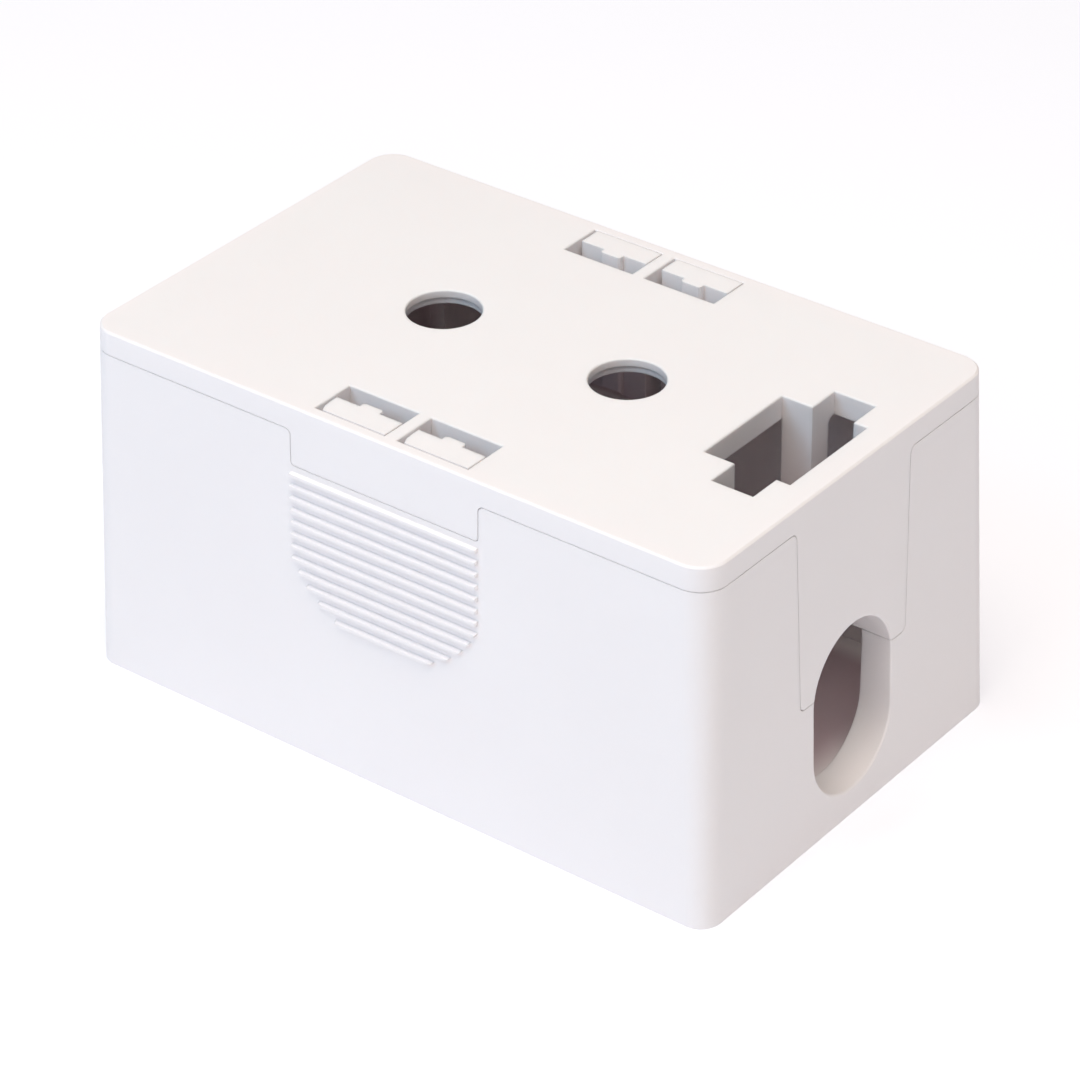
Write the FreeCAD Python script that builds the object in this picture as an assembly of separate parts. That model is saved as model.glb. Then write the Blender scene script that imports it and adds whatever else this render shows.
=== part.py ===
import FreeCAD, Part
import math
import os
from FreeCAD import Vector

# Surface mount jack box: a screw-down base with four latch arms, and a lid that lifts off it.
# Millimetres. The origin is the centre of the mounting face, X runs along the box with the
# cable entry at +X, and Z points from the mounting face to the lid.

# Outer form. The walls lean outward below the top face.
TOP_LENGTH = 114.0
TOP_WIDTH = 70.5
HEIGHT = 59.6
DRAFT = 1.65
TOP_CORNER_RADIUS = 4.6
FOOT_CORNER_RADIUS = 3.5
TOP_EDGE_BREAK = 0.3
EDGE_BREAK = 0.15

# Walls
WALL = 2.2
FLOOR = 2.4
PLATE = 2.4
INNER_RADIUS = 1.2

# Seam between lid and base
LID_EDGE = 3.9
SEAM = 0.1
LIP_DROP = 2.5
LIP_WALL = 1.4
LIP_GAP = 0.25
SEAT_LENGTH = 9.8
SEAT_DEPTH = 2.85

# Lid tab on each long side
TAB_WIDTH = 34.6
TAB_DROP = 9.8
TAB_NOTCH_RADIUS = 1.0
TAB_CORNER_RADIUS = 0.6

# Ribbed squeeze grip below each side tab
GRIP_RIBS = 12
GRIP_PITCH = 2.04
GRIP_START = 1.4
GRIP_CORNER_WIDTH = 10.2
GRIP_CORNER_HEIGHT = 9.2
GRIP_CORNER_BULGE = 1.3
GRIP_MARGIN = 0.2
RIB_PROUD = 0.7
RIB_ROOT = 0.9
RIB_TIP = 0.5

# Latch windows in the lid, two on each side, and the arms that rise into them
WINDOW_LENGTH = 13.0
WINDOW_WIDTH = 7.8
WINDOW_BAR = 2.2
WINDOW_RIM = 1.9
WINDOW_EDGE = 3.9
WINDOW_WALL = 1.3
ARM_DEPTH = 4.0
ARM_GAP = 0.15
ARM_FREE_GAP = 0.65
ARM_FOOT = 30.0
NUB_WIDTH = 3.7
NUB_DEPTH = 1.05
NUB_EASE = 0.35
ARM_CORNER_LENGTH = 0.65
ARM_CORNER_DEPTH = 2.5
ARM_CORNER_BEND_LENGTH = 0.2
ARM_CORNER_BEND_DEPTH = 1.0

# Mounting screws, driven through round holes in the lid
SCREW_SPACING = 34.2
SCREW_HOLE_RADIUS = 2.3
BOSS_RADIUS = 6.0
BOSS_HEIGHT = 3.0
ACCESS_RADIUS = 5.8
ACCESS_LIP = 1.3
ACCESS_RELIEF = 0.3

# Keyed jack port
PORT_WIDTH = 14.8
PORT_SPAN = 19.2
PORT_END_MARGIN = 4.4
PORT_EDGE = 3.9
PORT_RIM = 1.5
EAR_WIDTH = 7.1
EAR_REACH = 5.6
EAR_OFFSET = 1.5
POST_WALL = 1.8
POST_REACH = 4.2
POST_FILLET = 1.2
POST_DEPTH = 18.0

# Cable entry, shared by the base and the lid's end tab
ENTRY_RADIUS = 9.9
ENTRY_HEIGHT = 28.6
ENTRY_SILL = 4.6
ENTRY_SPLIT = 1.8
ENTRY_EDGE_BREAK = 0.25
COLLAR_WALL = 1.8
BASE_COLLAR = 5.4
LID_COLLAR = 7.5
END_TAB_WIDTH = 28.4
END_TAB_TAPER = 1.65
END_NOTCH_RADIUS = 1.3
END_TAB_CORNER_RADIUS = 1.1

# Heights and places that follow from the sizes above
SLOPE = math.tan(math.radians(DRAFT))
PLATE_UNDERSIDE = HEIGHT - PLATE
SEAM_Z = HEIGHT - LID_EDGE
TAB_BOTTOM = HEIGHT - TAB_DROP
ENTRY_LOW_Z = ENTRY_SILL + ENTRY_RADIUS
ENTRY_HIGH_Z = ENTRY_SILL + ENTRY_HEIGHT - ENTRY_RADIUS
END_TAB_BOTTOM = ENTRY_HIGH_Z + ENTRY_SPLIT
WINDOW_OUTER_Y = TOP_WIDTH / 2 - WINDOW_RIM
WINDOW_INNER_Y = WINDOW_OUTER_Y - WINDOW_WIDTH
PORT_X = TOP_LENGTH / 2 - PORT_END_MARGIN - PORT_WIDTH / 2
EAR_X = PORT_X + EAR_OFFSET
# Far enough out for a cutting tool to pass clear of every face
CLEAR = TOP_LENGTH + TOP_WIDTH + HEIGHT
# How far pieces of one solid run into each other before they are joined
SINK = 0.5
# Points closer than this are the same point
SAME = 1e-6


def half_length(z, inset=0.0):
    """Distance from the middle to the end wall's face at height z, moved inward by inset."""
    return TOP_LENGTH / 2 + (HEIGHT - z) * SLOPE - inset


def half_width(z, inset=0.0):
    """Distance from the middle to the long wall's face at height z, moved inward by inset."""
    return TOP_WIDTH / 2 + (HEIGHT - z) * SLOPE - inset


def block(x_range, y_range, z_range):
    """Box between the given limits."""
    size = [high - low for low, high in (x_range, y_range, z_range)]
    return Part.makeBox(*size, Vector(x_range[0], y_range[0], z_range[0]))


def prism(points, direction):
    """Solid swept from a flat closed outline of points. A run of three points that is given
    as a tuple of vectors is an arc through them."""
    edges = []
    ends = [item if isinstance(item, tuple) else (item, item) for item in points]
    for item in points:
        if isinstance(item, tuple):
            edges.append(Part.Arc(*item).toShape())
    for current, following in zip(ends, ends[1:] + ends[:1]):
        if not current[-1].isEqual(following[0], SAME):
            edges.append(Part.makeLine(current[-1], following[0]))
    outline = Part.Wire(Part.__sortEdges__(edges))
    return Part.Face(outline).extrude(direction)


def drafted_form(z_low, z_high, inset=0.0):
    """Solid between two heights that follows the leaning walls, moved inward by inset. Its
    four corners are tighter at the foot than at the top."""
    up = Vector(0, 0, 1)
    top_radius = max(TOP_CORNER_RADIUS - inset, INNER_RADIUS)
    foot_radius = max(FOOT_CORNER_RADIUS - inset, INNER_RADIUS)
    outward = [Vector(1, 0, 0), Vector(0, 1, 0), Vector(-1, 0, 0), Vector(0, -1, 0)]
    signs = ((1, 1), (-1, 1), (-1, -1), (1, -1))

    # Lower outline, then upper: four corner arcs and the corners' centres
    arcs, centres, radii = [], [], []
    for z in (z_low, z_high):
        radius = foot_radius + (top_radius - foot_radius) * z / HEIGHT
        middle_x, middle_y = half_length(z, inset) - radius, half_width(z, inset) - radius
        level = [Vector(along * middle_x, across * middle_y, z) for along, across in signs]
        arcs.append([
            Part.makeCircle(radius, centre, up, 90 * index, 90 * (index + 1))
            for index, centre in enumerate(level)
        ])
        centres.append(level)
        radii.append(radius)

    faces = []
    caps = [[], []]
    for index in range(4):
        following = (index + 1) % 4
        start, end = [
            [centres[cap][corner] + outward[following] * radii[cap] for cap in (0, 1)]
            for corner in (index, following)
        ]
        faces.append(Part.makeRuledSurface(arcs[0][index], arcs[1][index]))
        faces.append(Part.Face(Part.makePolygon([start[0], end[0], end[1], start[1], start[0]])))
        for cap in (0, 1):
            caps[cap] += [arcs[cap][index], Part.makeLine(start[cap], end[cap])]
    faces += [Part.Face(Part.Wire(edges)) for edges in caps]
    shell = Part.Shell(faces)
    shell.sewShape()
    solid = Part.Solid(shell)
    if solid.Volume < 0:
        solid.reverse()
    return solid


def tab_profile(half_top, half_low, z_low, notch_radius, corner_radius, gap, place):
    """Outline of a tab that hangs from the lid's edge, grown by gap. place turns the
    outline's own sideways and upward values into a point."""
    seam = SEAM_Z - gap
    low = z_low - gap
    taper = (half_top - half_low) / (SEAM_Z - z_low)
    notch = notch_radius - gap
    corner = corner_radius + gap

    def half(z):
        return half_low + gap + (z - z_low) * taper

    bend = math.sqrt(0.5)
    side_points = []
    for sign in (-1, 1):
        at_seam = half(seam - notch) + notch
        at_low = half(low + corner) - corner
        upper = (
            place(sign * at_seam, seam),
            place(sign * (at_seam - notch * bend), seam - notch + notch * bend),
            place(sign * (at_seam - notch), seam - notch),
        )
        lower = (
            place(sign * (at_low + corner), low + corner),
            place(sign * (at_low + corner * bend), low + corner - corner * bend),
            place(sign * at_low, low),
        )
        side_points.append([upper, lower])
    left, right = side_points
    top = HEIGHT + TOP_CORNER_RADIUS
    outline = [place(-half(seam) - notch, top)] + left
    outline += [tuple(reversed(arc)) for arc in reversed(right)]
    outline.append(place(half(seam) + notch, top))
    return outline


def lid_zone(gap):
    """All the space on the lid's side of the seam, grown by gap on the base's side."""
    above = block((-CLEAR, CLEAR), (-CLEAR, CLEAR), (SEAM_Z - gap, HEIGHT + TOP_CORNER_RADIUS))
    side_tabs = prism(
        tab_profile(TAB_WIDTH / 2, TAB_WIDTH / 2, TAB_BOTTOM, TAB_NOTCH_RADIUS,
                    TAB_CORNER_RADIUS, gap, lambda side, z: Vector(side, -CLEAR, z)),
        Vector(0, 2 * CLEAR, 0),
    )
    end_tab = prism(
        tab_profile(END_TAB_WIDTH / 2, END_TAB_WIDTH / 2 - END_TAB_TAPER / 2, END_TAB_BOTTOM,
                    END_NOTCH_RADIUS, END_TAB_CORNER_RADIUS, gap,
                    lambda side, z: Vector(0, side, z)),
        Vector(CLEAR, 0, 0),
    )
    return above.fuse([side_tabs, end_tab])


def obround(radius, x, length):
    """Solid of the cable entry's shape, with the given radius, from x along +X."""
    low, high = ENTRY_LOW_Z, ENTRY_HIGH_Z
    lower = (Vector(x, -radius, low), Vector(x, 0, low - radius), Vector(x, radius, low))
    upper = (Vector(x, radius, high), Vector(x, 0, high + radius), Vector(x, -radius, high))
    return prism([lower, upper], Vector(length, 0, 0))


def obround_wire(radius, x):
    """Outline of the cable entry's shape in the plane at x, with its arcs' centres kept."""
    low, high = ENTRY_LOW_Z, ENTRY_HIGH_Z
    points = [Vector(x, -radius, low), Vector(x, radius, low),
              Vector(x, radius, high), Vector(x, -radius, high)]
    return Part.Wire([
        Part.Arc(points[0], Vector(x, 0, low - radius), points[1]).toShape(),
        Part.makeLine(points[1], points[2]),
        Part.Arc(points[2], Vector(x, 0, high + radius), points[3]).toShape(),
        Part.makeLine(points[3], points[0]),
    ])


def entry_cutter():
    """Tool for the cable entry: a straight passage whose mouth is eased to the leaning face."""
    passage = obround(ENTRY_RADIUS, half_length(HEIGHT, BASE_COLLAR + LID_COLLAR), CLEAR)
    middle = (ENTRY_LOW_Z + ENTRY_HIGH_Z) / 2
    face_x = half_length(middle)
    mouth = Part.makeLoft([
        obround_wire(ENTRY_RADIUS - ENTRY_EDGE_BREAK, face_x - 2 * ENTRY_EDGE_BREAK),
        obround_wire(ENTRY_RADIUS + 2 * ENTRY_EDGE_BREAK, face_x + ENTRY_EDGE_BREAK),
    ], True, True)
    mouth.rotate(Vector(face_x, 0, middle), Vector(0, 1, 0), -DRAFT)
    return passage.fuse(mouth)


def collar(depth):
    """Ring round the cable entry that reaches depth inward from the end wall's face."""
    x_inner = half_length((ENTRY_LOW_Z + ENTRY_HIGH_Z) / 2, depth)
    ring = obround(ENTRY_RADIUS + COLLAR_WALL, x_inner, CLEAR)
    return ring.common(drafted_form(0, HEIGHT, WALL / 2))


def arm_span(side):
    """Lowest and highest x of the arm in the window on the given side of the middle."""
    middle = side * (WINDOW_BAR + WINDOW_LENGTH) / 2
    return middle - WINDOW_LENGTH / 2 + ARM_FREE_GAP, middle + WINDOW_LENGTH / 2 - ARM_GAP


def latch_arm(side, eased):
    """Latch arm on the -Y side: a T-section stem with a sloped foot on the wall. An eased
    arm has its outer corner at the free end cut back."""
    x_low, x_high = arm_span(side)
    outer = -WINDOW_OUTER_Y + ARM_GAP
    inner = outer + ARM_DEPTH
    nub = inner + NUB_DEPTH
    middle = (x_low + x_high) / 2
    base_z = HEIGHT - ARM_FOOT
    corner = [(x_low, outer)]
    if eased:
        corner = [
            (x_low, outer + ARM_CORNER_DEPTH),
            (x_low + ARM_CORNER_BEND_LENGTH, outer + ARM_CORNER_BEND_DEPTH),
            (x_low + ARM_CORNER_LENGTH, outer),
        ]
    section = corner + [
        (x_high, outer), (x_high, inner),
        (middle + NUB_WIDTH / 2, inner), (middle + NUB_WIDTH / 2, nub - NUB_EASE),
        (middle + NUB_WIDTH / 2 - NUB_EASE, nub), (middle - NUB_WIDTH / 2 + NUB_EASE, nub),
        (middle - NUB_WIDTH / 2, nub - NUB_EASE), (middle - NUB_WIDTH / 2, inner),
        (x_low, inner),
    ]
    stem = prism([Vector(x, y, base_z) for x, y in section], Vector(0, 0, ARM_FOOT))
    # The root joins the stem to the wall below the tab's notch, and slopes away underneath.
    root_top = TAB_BOTTOM - SEAM
    wall_y = -half_width(root_top, WALL / 2)
    root = block((x_low, x_high), (wall_y, inner), (base_z, root_top))
    slope = prism([
        Vector(-CLEAR, wall_y, base_z), Vector(-CLEAR, nub, base_z),
        Vector(-CLEAR, nub, base_z + nub - wall_y),
    ], Vector(2 * CLEAR, 0, 0))
    return stem.fuse(root).cut(slope)


def grip_ribs():
    """Tapered ribs across the -Y grip. Their ends follow the grip's outline, which has
    straight sides and bulging lower corners."""
    first_z = TAB_BOTTOM - GRIP_START
    last_z = first_z - (GRIP_RIBS - 1) * GRIP_PITCH
    bottom = last_z - RIB_ROOT / 2 - GRIP_MARGIN
    half = TAB_WIDTH / 2
    slant = math.hypot(GRIP_CORNER_WIDTH, GRIP_CORNER_HEIGHT)
    bulge_x = GRIP_CORNER_BULGE * GRIP_CORNER_HEIGHT / slant
    bulge_z = GRIP_CORNER_BULGE * GRIP_CORNER_WIDTH / slant

    def corner(side):
        return [
            Vector(side * half, -CLEAR, bottom + GRIP_CORNER_HEIGHT),
            Vector(side * (half - GRIP_CORNER_WIDTH / 2 + bulge_x), -CLEAR,
                   bottom + GRIP_CORNER_HEIGHT / 2 - bulge_z),
            Vector(side * (half - GRIP_CORNER_WIDTH), -CLEAR, bottom),
        ]

    outline = prism([
        Vector(-half, -CLEAR, TAB_BOTTOM), tuple(corner(-1)), tuple(reversed(corner(1))),
        Vector(half, -CLEAR, TAB_BOTTOM),
    ], Vector(0, CLEAR, 0))

    ribs = []
    for index in range(GRIP_RIBS):
        z = first_z - index * GRIP_PITCH
        face = -half_width(z)
        section = [
            (face + SINK, z + RIB_ROOT / 2), (face + SINK, z - RIB_ROOT / 2),
            (face - RIB_PROUD, z - RIB_TIP / 2), (face - RIB_PROUD, z + RIB_TIP / 2),
        ]
        rib = prism([Vector(-half, *point) for point in section], Vector(2 * half, 0, 0))
        ribs.append(rib.common(outline))
    return ribs


def mirrored(solids):
    """Mirror images on the +Y side of the solids of the -Y side."""
    return [solid.mirror(Vector(0, 0, 0), Vector(0, 1, 0)) for solid in solids]


def both_sides(solids):
    """The solids of the -Y side with their mirror images on the +Y side."""
    return solids + mirrored(solids)


def seat_posts():
    """Posts in the four corners that the lid's plate rests on."""
    x_inner = TOP_LENGTH / 2 - WALL - SEAT_LENGTH
    y_inner = TOP_WIDTH / 2 - WALL - SEAT_DEPTH
    # Below the seam a post is one with the wall. Above it, it stands clear of the lid's edge.
    forms = [drafted_form(FLOOR - SINK, SEAM_Z - SEAM, WALL / 2),
             drafted_form(FLOOR - SINK, PLATE_UNDERSIDE, WALL + LIP_GAP)]
    posts = []
    for x_range in ((-CLEAR, -x_inner), (x_inner, CLEAR)):
        corner = block(x_range, (-CLEAR, -y_inner), (0, HEIGHT))
        posts += [form.common(corner) for form in forms]
    return both_sides(posts)


def make_base():
    outside = drafted_form(0, HEIGHT)
    inside = drafted_form(FLOOR, HEIGHT + SINK, WALL)
    shell = outside.cut([inside, lid_zone(SEAM)])
    entry_ring = collar(BASE_COLLAR).cut(lid_zone(SEAM))
    bosses = [
        Part.makeCylinder(BOSS_RADIUS, BOSS_HEIGHT + SINK, Vector(x, 0, FLOOR - SINK))
        for x in (-SCREW_SPACING / 2, SCREW_SPACING / 2)
    ]
    arms = [latch_arm(side, True) for side in (-1, 1)]
    arms += mirrored([latch_arm(side, False) for side in (-1, 1)])
    grips = both_sides(grip_ribs())
    solid = shell.fuse([entry_ring] + bosses + arms + grips + seat_posts())
    screw_holes = [
        Part.makeCylinder(SCREW_HOLE_RADIUS, CLEAR, Vector(x, 0, -SINK))
        for x in (-SCREW_SPACING / 2, SCREW_SPACING / 2)
    ]
    return solid.cut([entry_cutter()] + screw_holes).removeSplitter()


def eased_cutter(outline):
    """Tool that cuts through the lid's plate and breaks the edge at the top face. outline
    gives the wire grown by an amount, at a height."""
    low = HEIGHT - POST_DEPTH - SINK
    shaft = Part.Face(outline(0, low)).extrude(Vector(0, 0, HEIGHT + SINK - low))
    flare = Part.makeLoft([outline(0, HEIGHT - EDGE_BREAK),
                           outline(2 * EDGE_BREAK, HEIGHT + EDGE_BREAK)], True, True)
    return shaft.fuse(flare)


def window_outline(side, outer_sign):
    """Outline maker of the latch window on one side of the middle and towards one long side."""
    middle_x = side * (WINDOW_BAR + WINDOW_LENGTH) / 2
    middle_y = outer_sign * (WINDOW_OUTER_Y + WINDOW_INNER_Y) / 2

    def wire(grow, z):
        half_x = WINDOW_LENGTH / 2 + grow
        half_y = WINDOW_WIDTH / 2 + grow
        turns = ((-1, -1), (1, -1), (1, 1), (-1, 1), (-1, -1))
        return Part.makePolygon([
            Vector(middle_x + along * half_x, middle_y + across * half_y, z)
            for along, across in turns
        ])
    return wire


def window_rim():
    """Deeper wall round both latch windows of the -Y side, joined to the lid's edge."""
    half_x = WINDOW_BAR / 2 + WINDOW_LENGTH + WINDOW_WALL
    y_range = (-CLEAR, -WINDOW_INNER_Y + WINDOW_WALL)
    form = drafted_form(HEIGHT - WINDOW_EDGE, PLATE_UNDERSIDE + SINK, WALL / 2)
    return form.common(block((-half_x, half_x), y_range, (0, HEIGHT)))


def access_outline(side):
    """Outline maker of the round hole over a mounting screw."""
    def wire(grow, z):
        centre = Vector(side * SCREW_SPACING / 2, 0, z)
        return Part.Wire(Part.makeCircle(ACCESS_RADIUS + grow, centre))
    return wire


def port_outline(grow, z):
    """Wire of the jack port: a rectangle with an ear in the middle of each short side."""
    body_x, body_y = PORT_WIDTH / 2 + grow, PORT_SPAN / 2 + grow
    ear_x, ear_y = EAR_WIDTH / 2 + grow, PORT_SPAN / 2 + EAR_REACH + grow
    upper = [
        (PORT_X + body_x, body_y), (EAR_X + ear_x, body_y), (EAR_X + ear_x, ear_y),
        (EAR_X - ear_x, ear_y), (EAR_X - ear_x, body_y), (PORT_X - body_x, body_y),
    ]
    lower = [(x, -y) for x, y in reversed(upper)]
    points = [Vector(x, y, z) for x, y in upper + lower]
    return Part.makePolygon(points + points[:1])


def port_posts():
    """Four corner posts under the port that guide the jack, each an L in plan."""
    posts = []
    near_y = PORT_SPAN / 2
    z_low = HEIGHT - POST_DEPTH
    rim_z = HEIGHT - PORT_EDGE
    bend = POST_FILLET * (1 - math.sqrt(0.5))
    for side in (-1, 1):
        port_edge = PORT_X + side * PORT_WIDTH / 2
        ear_edge = EAR_X + side * EAR_WIDTH / 2
        jaw_x = sorted((port_edge, ear_edge))
        cheek_x = sorted((ear_edge, ear_edge + side * POST_WALL))
        jaw = block(jaw_x, (-near_y - POST_WALL, -near_y), (z_low, PLATE_UNDERSIDE + SINK))
        reach_y = -near_y - POST_REACH
        fillet = (
            Vector(cheek_x[0], reach_y, rim_z - POST_FILLET),
            Vector(cheek_x[0], reach_y - bend, rim_z - bend),
            Vector(cheek_x[0], reach_y - POST_FILLET, rim_z),
        )
        cheek = prism([
            Vector(cheek_x[0], -near_y, z_low), Vector(cheek_x[0], reach_y, z_low), fillet,
            Vector(cheek_x[0], reach_y - POST_FILLET, PLATE_UNDERSIDE + SINK),
            Vector(cheek_x[0], -near_y, PLATE_UNDERSIDE + SINK),
        ], Vector(cheek_x[1] - cheek_x[0], 0, 0))
        posts += [jaw, cheek]
    return both_sides(posts)


def locating_lip():
    """Lip inside the lid's edge that centres it in the base, open at the tabs and posts."""
    z_low = SEAM_Z - LIP_DROP
    top = PLATE_UNDERSIDE + SINK
    ring = drafted_form(z_low, top, WALL + LIP_GAP)
    ring = ring.cut(drafted_form(z_low - SINK, top + SINK, WALL + LIP_GAP + LIP_WALL))
    seat_x = TOP_LENGTH / 2 - WALL - SEAT_LENGTH - LIP_GAP - SINK
    seat_y = TOP_WIDTH / 2 - WALL - SEAT_DEPTH - LIP_GAP - SINK
    tab_x = TAB_WIDTH / 2 + TAB_NOTCH_RADIUS + LIP_WALL
    tab_y = END_TAB_WIDTH / 2 + END_NOTCH_RADIUS + LIP_WALL
    z_range = (z_low - SINK, top + SINK)
    openings = [
        block((-tab_x, tab_x), (-CLEAR, CLEAR), z_range),
        block((0, CLEAR), (-tab_y, tab_y), z_range),
    ]
    for x_range in ((-CLEAR, -seat_x), (seat_x, CLEAR)):
        for y_range in ((-CLEAR, -seat_y), (seat_y, CLEAR)):
            openings.append(block(x_range, y_range, z_range))
    lip = ring.cut(openings)
    bridge = drafted_form(SEAM_Z, top, WALL / 2)
    bridge = bridge.cut(drafted_form(SEAM_Z - SINK, top + SINK, WALL + LIP_GAP + LIP_WALL))
    return [lip, bridge.cut(openings)]


def make_lid():
    outside = drafted_form(END_TAB_BOTTOM - TOP_CORNER_RADIUS, HEIGHT)
    top_edges = [
        edge for edge in outside.Edges
        if all(abs(vertex.Z - HEIGHT) < SAME for vertex in edge.Vertexes)
    ]
    outside = outside.makeChamfer(TOP_EDGE_BREAK, top_edges)
    inside = drafted_form(END_TAB_BOTTOM - 2 * TOP_CORNER_RADIUS, PLATE_UNDERSIDE, WALL)
    shell = outside.cut(inside).common(lid_zone(0))
    arch = collar(LID_COLLAR).common(lid_zone(0))
    port_rim = Part.Face(port_outline(PORT_RIM, HEIGHT - PORT_EDGE))
    port_rim = port_rim.extrude(Vector(0, 0, PORT_EDGE - PLATE + SINK))
    rims = [port_rim] + both_sides([window_rim()])
    solid = shell.fuse([arch] + rims + port_posts() + locating_lip())

    cutters = [entry_cutter(), eased_cutter(port_outline)]
    for side in (-1, 1):
        cutters += [eased_cutter(window_outline(side, outer_sign)) for outer_sign in (-1, 1)]
        cutters.append(eased_cutter(access_outline(side)))
        cutters.append(Part.makeCylinder(
            ACCESS_RADIUS + ACCESS_RELIEF, PLATE - ACCESS_LIP + SINK,
            Vector(side * SCREW_SPACING / 2, 0, PLATE_UNDERSIDE - SINK)))
    return solid.cut(cutters).removeSplitter()


def save(name, shape):
    shape.exportStep("parts/" + name + ".step")
    box = shape.BoundBox
    print(name, "solids", len(shape.Solids), "valid", shape.isValid(),
          "volume", round(shape.Volume, 1),
          "box", [round(value, 2) for value in (box.XLength, box.YLength, box.ZLength)])


os.makedirs("parts", exist_ok=True)
save("base", make_base())
save("lid", make_lid())
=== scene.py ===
"""Surface mount jack box: camera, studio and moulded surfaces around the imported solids."""
import math

import bpy
from mathutils import Matrix, Vector


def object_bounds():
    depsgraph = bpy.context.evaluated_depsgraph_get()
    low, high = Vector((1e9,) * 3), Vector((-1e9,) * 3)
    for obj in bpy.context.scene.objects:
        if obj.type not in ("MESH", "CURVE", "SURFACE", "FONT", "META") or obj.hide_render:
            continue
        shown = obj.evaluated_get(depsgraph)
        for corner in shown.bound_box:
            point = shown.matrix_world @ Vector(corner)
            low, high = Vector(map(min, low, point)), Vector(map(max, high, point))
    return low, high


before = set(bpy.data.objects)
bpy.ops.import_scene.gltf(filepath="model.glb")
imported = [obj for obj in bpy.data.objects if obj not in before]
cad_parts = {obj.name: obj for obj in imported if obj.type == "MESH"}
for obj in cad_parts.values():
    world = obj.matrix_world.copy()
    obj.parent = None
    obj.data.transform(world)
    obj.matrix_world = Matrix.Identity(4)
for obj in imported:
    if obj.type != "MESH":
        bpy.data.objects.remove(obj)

CAD_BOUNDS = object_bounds()
MM = 0.001

# Camera, aimed at the middle of the box. Azimuth 0 faces the long side and 90 the cable
# entry. Distances are in metres and angles in degrees.
SENSOR_MM = 36
LENS_MM = 142.97
AZIMUTH = 38.15
ELEVATION = 32.69
ROLL = -0.694
DISTANCE = 0.64829
AIM_SIDE = -0.000505
AIM_RISE = 0.003867
CLIP_NEAR = 0.05
CLIP_FAR = 30

# Light. Each soft box has a name, azimuth, elevation, size in metres, power in watts and
# colour.
SOFT_BOXES = [
    ("key", 27, 57, 0.8, 2.6, (1.0, 0.965, 0.93)),
    ("overhead", 38, 80, 1.0, 14.2, (1.0, 0.915, 0.83)),
    ("side", -25, 38, 0.6, 5.4, (0.53, 0.765, 1.0)),
    ("front", 34, 38, 0.7, 0.7, (0.80, 0.88, 1.0)),
]
LIGHT_DISTANCE = 1.3
SURROUND_COLOUR = (1.0, 0.98, 0.98, 1.0)
SURROUND_STRENGTH = 0.09

# Floor. A noise has the size of its features in metres and its levels of detail.
FLOOR_SIZE = 12
FLOOR_DROP = 0.05 * MM
FLOOR_COLOUR = (0.62, 0.62, 0.62, 1.0)
FLOOR_NOISE = (0.3, 2)
FLOOR_ROUGHNESS = (0.85, 0.95)
FLOOR_GLOW_COLOUR = (0.93, 0.92, 1.0, 1.0)
FLOOR_GLOW = 0.48

# Plastic: colours that alternate in patches outside, and a darker, warmer one painted in the
# hollow as shade
PLASTIC = (0.950, 0.906, 0.904, 1.0)
PLASTIC_SHADE = (0.926, 0.880, 0.880, 1.0)
HOLLOW_PAINTED_SHADE = (0.62, 0.49, 0.525, 1.0)
TONE_NOISE = (22 * MM, 3)
# Where the colour turns to the painted shade of the hollow: distances in metres from the
# middle along and across, and heights, where that starts and where it is complete
PAINTED_SHADE_LIMITS = ((0.0535, 0.046), (0.0335, 0.029), (0.0598, 0.024))
ROUGHNESS_NOISE = (6 * MM, 4)
ROUGHNESS = (0.44, 0.58)
SPECULAR = 0.35
# Rounding of edges, and bumps with their strength and height
EDGE_RADIUS = 0.2 * MM
EDGE_SAMPLES = 6
WAVE_NOISE = (9 * MM, 2)
WAVE_BUMP = (0.12, 0.2 * MM)
GRAIN_NOISE = (0.16 * MM, 2)
GRAIN_BUMP = (0.10, 0.02 * MM)
# Where light comes through the plastic, as in the limits of the painted shade above but
# along and across only, then the least and most of it, how far it comes, and how far each
# colour does as a share
GLOW_LIMITS = ((0.0558, 0.0535), (0.0340, 0.0318))
GLOW_RANGE = (0.2, 0.7)
GLOW_REACH = 1.0 * MM
GLOW_COLOUR_REACH = (1.0, 0.93, 0.91)


def link(tree, start, end):
    """Joins an output socket to an input socket of a node tree."""
    tree.links.new(start, end)


def noise(tree, coordinates, size, detail):
    """Noise whose features are about size metres across."""
    node = tree.nodes.new("ShaderNodeTexNoise")
    node.inputs["Scale"].default_value = 1 / size
    node.inputs["Detail"].default_value = detail
    link(tree, coordinates, node.inputs["Vector"])
    return node.outputs["Fac"]


def ranged(tree, value, low, high):
    """Maps 0 to 1 onto low to high."""
    node = tree.nodes.new("ShaderNodeMapRange")
    node.inputs["To Min"].default_value = low
    node.inputs["To Max"].default_value = high
    link(tree, value, node.inputs["Value"])
    return node.outputs["Result"]


def faded(tree, value, none, full):
    """0 where value is none, 1 where it is full, and smooth between."""
    node = tree.nodes.new("ShaderNodeMapRange")
    node.interpolation_type = "SMOOTHSTEP"
    node.inputs["From Min"].default_value = none
    node.inputs["From Max"].default_value = full
    link(tree, value, node.inputs["Value"])
    return node.outputs["Result"]


def mixed(tree, factor, first, second):
    """Colour between first and second. first is a colour or another node's colour."""
    node = tree.nodes.new("ShaderNodeMix")
    node.data_type = "RGBA"
    if isinstance(first, tuple):
        node.inputs["A"].default_value = first
    else:
        link(tree, first, node.inputs["A"])
    node.inputs["B"].default_value = second
    link(tree, factor, node.inputs["Factor"])
    return node.outputs["Result"]


def calculated(tree, operation, *values):
    """Result of a maths operation on one or two values."""
    node = tree.nodes.new("ShaderNodeMath")
    node.operation = operation
    for socket, value in zip(node.inputs, values):
        link(tree, value, socket)
    return node.outputs["Value"]


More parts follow.
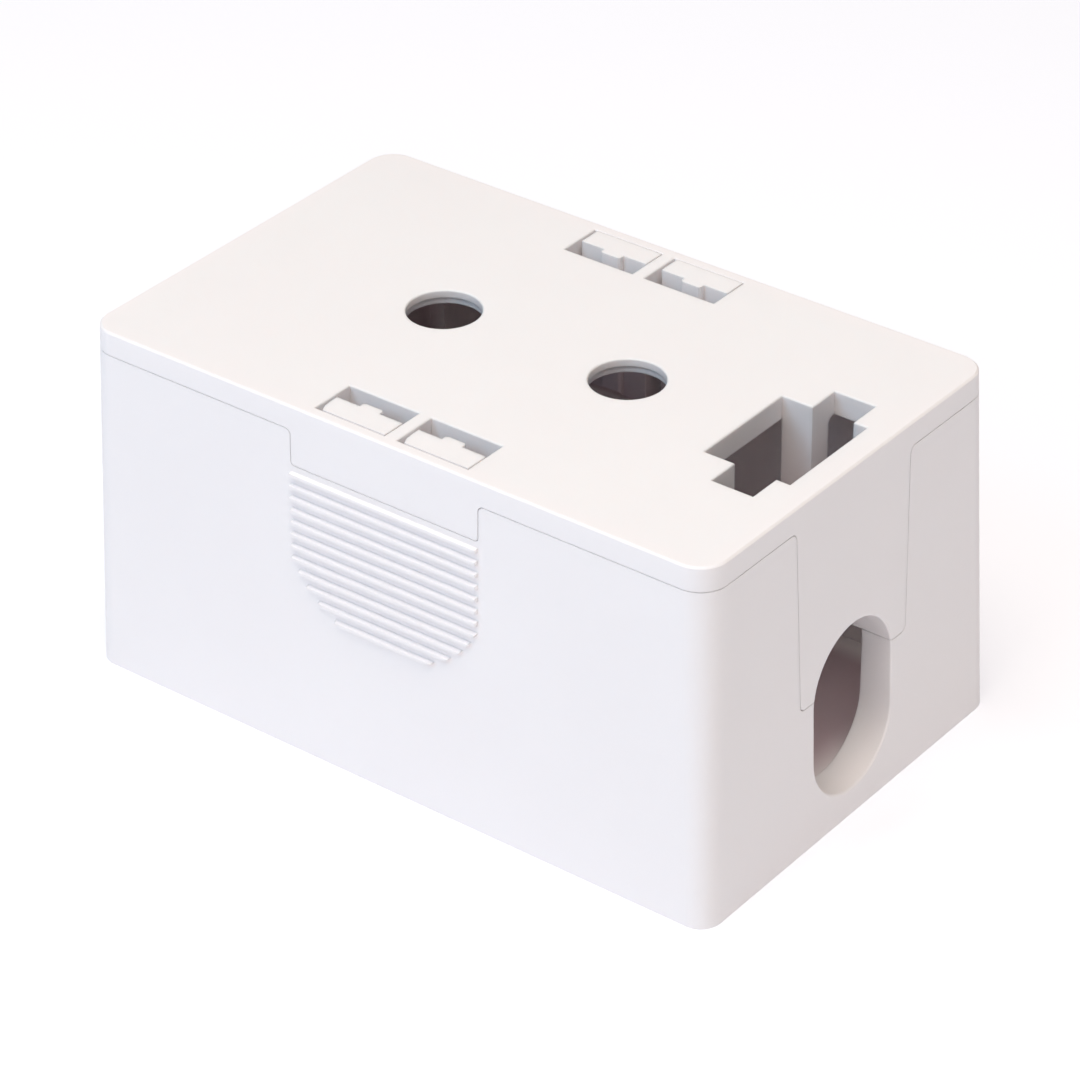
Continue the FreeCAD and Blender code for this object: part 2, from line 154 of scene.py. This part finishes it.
def depth_inside(tree, place, limits):
    """How deep a point lies inside the box, from 0 on the outside to 1 in the hollow."""
    split = tree.nodes.new("ShaderNodeSeparateXYZ")
    link(tree, place, split.inputs["Vector"])
    along = calculated(tree, "ABSOLUTE", split.outputs["X"])
    across = calculated(tree, "ABSOLUTE", split.outputs["Y"])
    fades = [faded(tree, value, none, full) for value, (none, full) in zip(
        (along, across, split.outputs["Z"]), limits)]
    depth = fades[0]
    for fade in fades[1:]:
        depth = calculated(tree, "MULTIPLY", depth, fade)
    return depth


def bumped(tree, height, strength, distance, normal):
    """Normal tilted by a height."""
    node = tree.nodes.new("ShaderNodeBump")
    node.inputs["Strength"].default_value = strength
    node.inputs["Distance"].default_value = distance
    link(tree, height, node.inputs["Height"])
    link(tree, normal, node.inputs["Normal"])
    return node.outputs["Normal"]


def blank_material(name):
    """A new material, its node tree, its shader and the object's coordinates."""
    material = bpy.data.materials.new(name)
    material.use_nodes = True
    tree = material.node_tree
    place = tree.nodes.new("ShaderNodeTexCoord").outputs["Object"]
    return material, tree, tree.nodes["Principled BSDF"], place


def moulded_plastic(name):
    """White satin plastic: fine spark-eroded grain, slow waviness, faint tone changes,
    painted shade that makes the hollow darker and warmer, and edges that are a little round."""
    material, tree, shader, place = blank_material(name)

    outside = mixed(tree, noise(tree, place, *TONE_NOISE), PLASTIC, PLASTIC_SHADE)
    # Painted shade: the colour turns darker and warmer deeper in the hollow, standing in for
    # the shade there
    inside = depth_inside(tree, place, PAINTED_SHADE_LIMITS)
    link(tree, mixed(tree, inside, outside, HOLLOW_PAINTED_SHADE), shader.inputs["Base Color"])
    patch = noise(tree, place, *ROUGHNESS_NOISE)
    link(tree, ranged(tree, patch, *ROUGHNESS), shader.inputs["Roughness"])
    shader.inputs["Specular IOR Level"].default_value = SPECULAR

    edge = tree.nodes.new("ShaderNodeBevel")
    edge.samples = EDGE_SAMPLES
    edge.inputs["Radius"].default_value = EDGE_RADIUS
    wave = noise(tree, place, *WAVE_NOISE)
    wavy = bumped(tree, wave, *WAVE_BUMP, edge.outputs["Normal"])
    grain = noise(tree, place, *GRAIN_NOISE)
    link(tree, bumped(tree, grain, *GRAIN_BUMP, wavy), shader.inputs["Normal"])

    glow = ranged(tree, depth_inside(tree, place, GLOW_LIMITS), *GLOW_RANGE)
    link(tree, glow, shader.inputs["Subsurface Weight"])
    shader.inputs["Subsurface Radius"].default_value = GLOW_COLOUR_REACH
    shader.inputs["Subsurface Scale"].default_value = GLOW_REACH
    return material


def pale_floor():
    """Plain matt studio floor."""
    material, tree, shader, place = blank_material("studio_floor")
    patch = noise(tree, place, *FLOOR_NOISE)
    link(tree, ranged(tree, patch, *FLOOR_ROUGHNESS), shader.inputs["Roughness"])
    shader.inputs["Base Color"].default_value = FLOOR_COLOUR
    shader.inputs["Emission Color"].default_value = FLOOR_GLOW_COLOUR
    shader.inputs["Emission Strength"].default_value = FLOOR_GLOW
    shader.inputs["Specular IOR Level"].default_value = 0.0
    bpy.ops.mesh.primitive_plane_add(size=FLOOR_SIZE, location=(0, 0, -FLOOR_DROP))
    floor = bpy.context.object
    floor.name = "floor"
    floor.data.materials.append(material)


def direction(azimuth, elevation):
    """Unit vector from the box towards an azimuth and elevation in degrees."""
    turn, rise = math.radians(azimuth), math.radians(elevation)
    return Vector((math.sin(turn) * math.cos(rise), -math.cos(turn) * math.cos(rise),
                   math.sin(rise)))


def soft_light(name, place, size, power, colour, aim):
    """Square area light that points from place to aim."""
    data = bpy.data.lights.new(name, "AREA")
    data.size = size
    data.energy = power
    data.color = colour
    lamp = bpy.data.objects.new(name, data)
    bpy.context.scene.collection.objects.link(lamp)
    lamp.location = place
    lamp.rotation_mode = "QUATERNION"
    lamp.rotation_quaternion = (aim - place).to_track_quat("-Z", "Y")


def studio(middle):
    """Soft boxes round the part and an even surround."""
    world = bpy.data.worlds.new("studio")
    world.use_nodes = True
    surround = world.node_tree.nodes["Background"]
    surround.inputs["Color"].default_value = SURROUND_COLOUR
    surround.inputs["Strength"].default_value = SURROUND_STRENGTH
    bpy.context.scene.world = world
    for name, azimuth, elevation, size, power, colour in SOFT_BOXES:
        place = middle + LIGHT_DISTANCE * direction(azimuth, elevation)
        soft_light(name, place, size, power, colour, middle)


def camera(middle):
    """Long lens from above one corner, turned a little about its own axis."""
    back = direction(AZIMUTH, ELEVATION)
    roll = math.radians(ROLL)
    level = (-back).cross(Vector((0, 0, 1))).normalized()
    upright = level.cross(-back)
    right = math.cos(roll) * level + math.sin(roll) * upright
    up = math.cos(roll) * upright - math.sin(roll) * level
    place = middle + back * DISTANCE - right * AIM_SIDE - up * AIM_RISE
    turned = Matrix((right, up, back)).transposed().to_4x4()
    data = bpy.data.cameras.new("camera")
    data.lens = LENS_MM
    data.sensor_width = SENSOR_MM
    data.clip_start = CLIP_NEAR
    data.clip_end = CLIP_FAR
    holder = bpy.data.objects.new("camera", data)
    bpy.context.scene.collection.objects.link(holder)
    holder.matrix_world = Matrix.Translation(place) @ turned
    bpy.context.scene.camera = holder


def dress(node):
    """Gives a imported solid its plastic."""
    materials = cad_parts[node].data.materials
    materials.clear()
    materials.append(moulded_plastic(node + "_plastic"))


low, high = CAD_BOUNDS
box_middle = (low + high) / 2
bpy.context.scene.view_settings.view_transform = "Standard"
dress("base")
dress("lid")
pale_floor()
studio(box_middle)
camera(box_middle)
